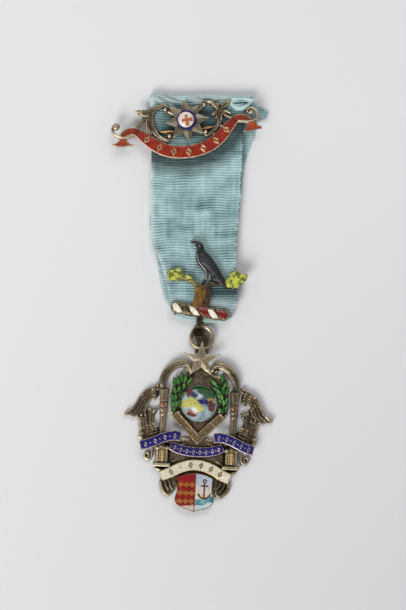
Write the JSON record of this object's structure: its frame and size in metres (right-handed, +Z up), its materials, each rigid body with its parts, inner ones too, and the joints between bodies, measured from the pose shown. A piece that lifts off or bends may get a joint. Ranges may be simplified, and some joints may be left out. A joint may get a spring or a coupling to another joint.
{
  "type": "regalia jewel on ribbon",
  "caption": "Enamelled silver breast jewel lying flat: scroll brooch with star, folded ribbed silk ribbon, bird crest, jump ring and pierced pendant with globe, square and shield.",
  "frame": {"origin": "centre of the outline, on the surface that the jewel lies on", "axes": "+Y from the shield's tip towards the brooch, +Z up out of the jewel's face, +X to the right as seen from above"},
  "size_m": [0.051, 0.1324, 0.0069],
  "materials": {
    "silver": "tarnished silver, worn bright on its edges",
    "star_silver": "worn silver with a fine grain",
    "ribbon_silk": "ribbed watered silk",
    "blue_enamel": "glossy",
    "white_enamel": "glossy",
    "orange_enamel": "glossy",
    "red_enamel": "glossy",
    "black_enamel": "glossy",
    "amber_enamel": "glossy",
    "lime_enamel": "glossy",
    "green_enamel": "glossy",
    "globe_enamel": "painted and glossy",
    "sea_enamel": "glossy",
    "gilt": "worn gilding"
  },
  "bodies": {
    "root": {"brooch_frame": "silver", "brooch_star": "star_silver", "roundel_ring": "blue_enamel", "roundel_dome": "white_enamel", "roundel_cross": "orange_enamel", "scroll_enamel": "red_enamel", "tail_enamel_left": "red_enamel", "tail_enamel_right": "red_enamel", "brooch_pin": "silver", "ribbon": "ribbon_silk", "crest_frame": "silver", "bird": "black_enamel", "bird_wing": "black_enamel", "stump": "amber_enamel", "tuft_left": "lime_enamel", "tuft_right": "lime_enamel", "wreath_white_1": "white_enamel", "wreath_white_2": "white_enamel", "wreath_white_3": "white_enamel", "wreath_red_1": "red_enamel", "wreath_red_2": "red_enamel", "jump_ring": "silver", "pendant_frame": "silver", "pendant_star": "star_silver", "globe": "globe_enamel", "try_square": "star_silver", "sprig_left": "green_enamel", "sprig_right": "green_enamel", "banner_left": "silver", "banner_right": "silver", "banner_centre": "silver", "banner_left_enamel": "blue_enamel", "banner_right_enamel": "blue_enamel", "banner_centre_enamel": "blue_enamel", "number_scroll": "silver", "number_enamel": "white_enamel", "shield": "silver", "shield_field_red": "red_enamel", "shield_field_white": "white_enamel", "shield_sea": "sea_enamel", "plinth_panel_left": "gilt", "plinth_panel_right": "gilt"}
  },
  "joints": []
}
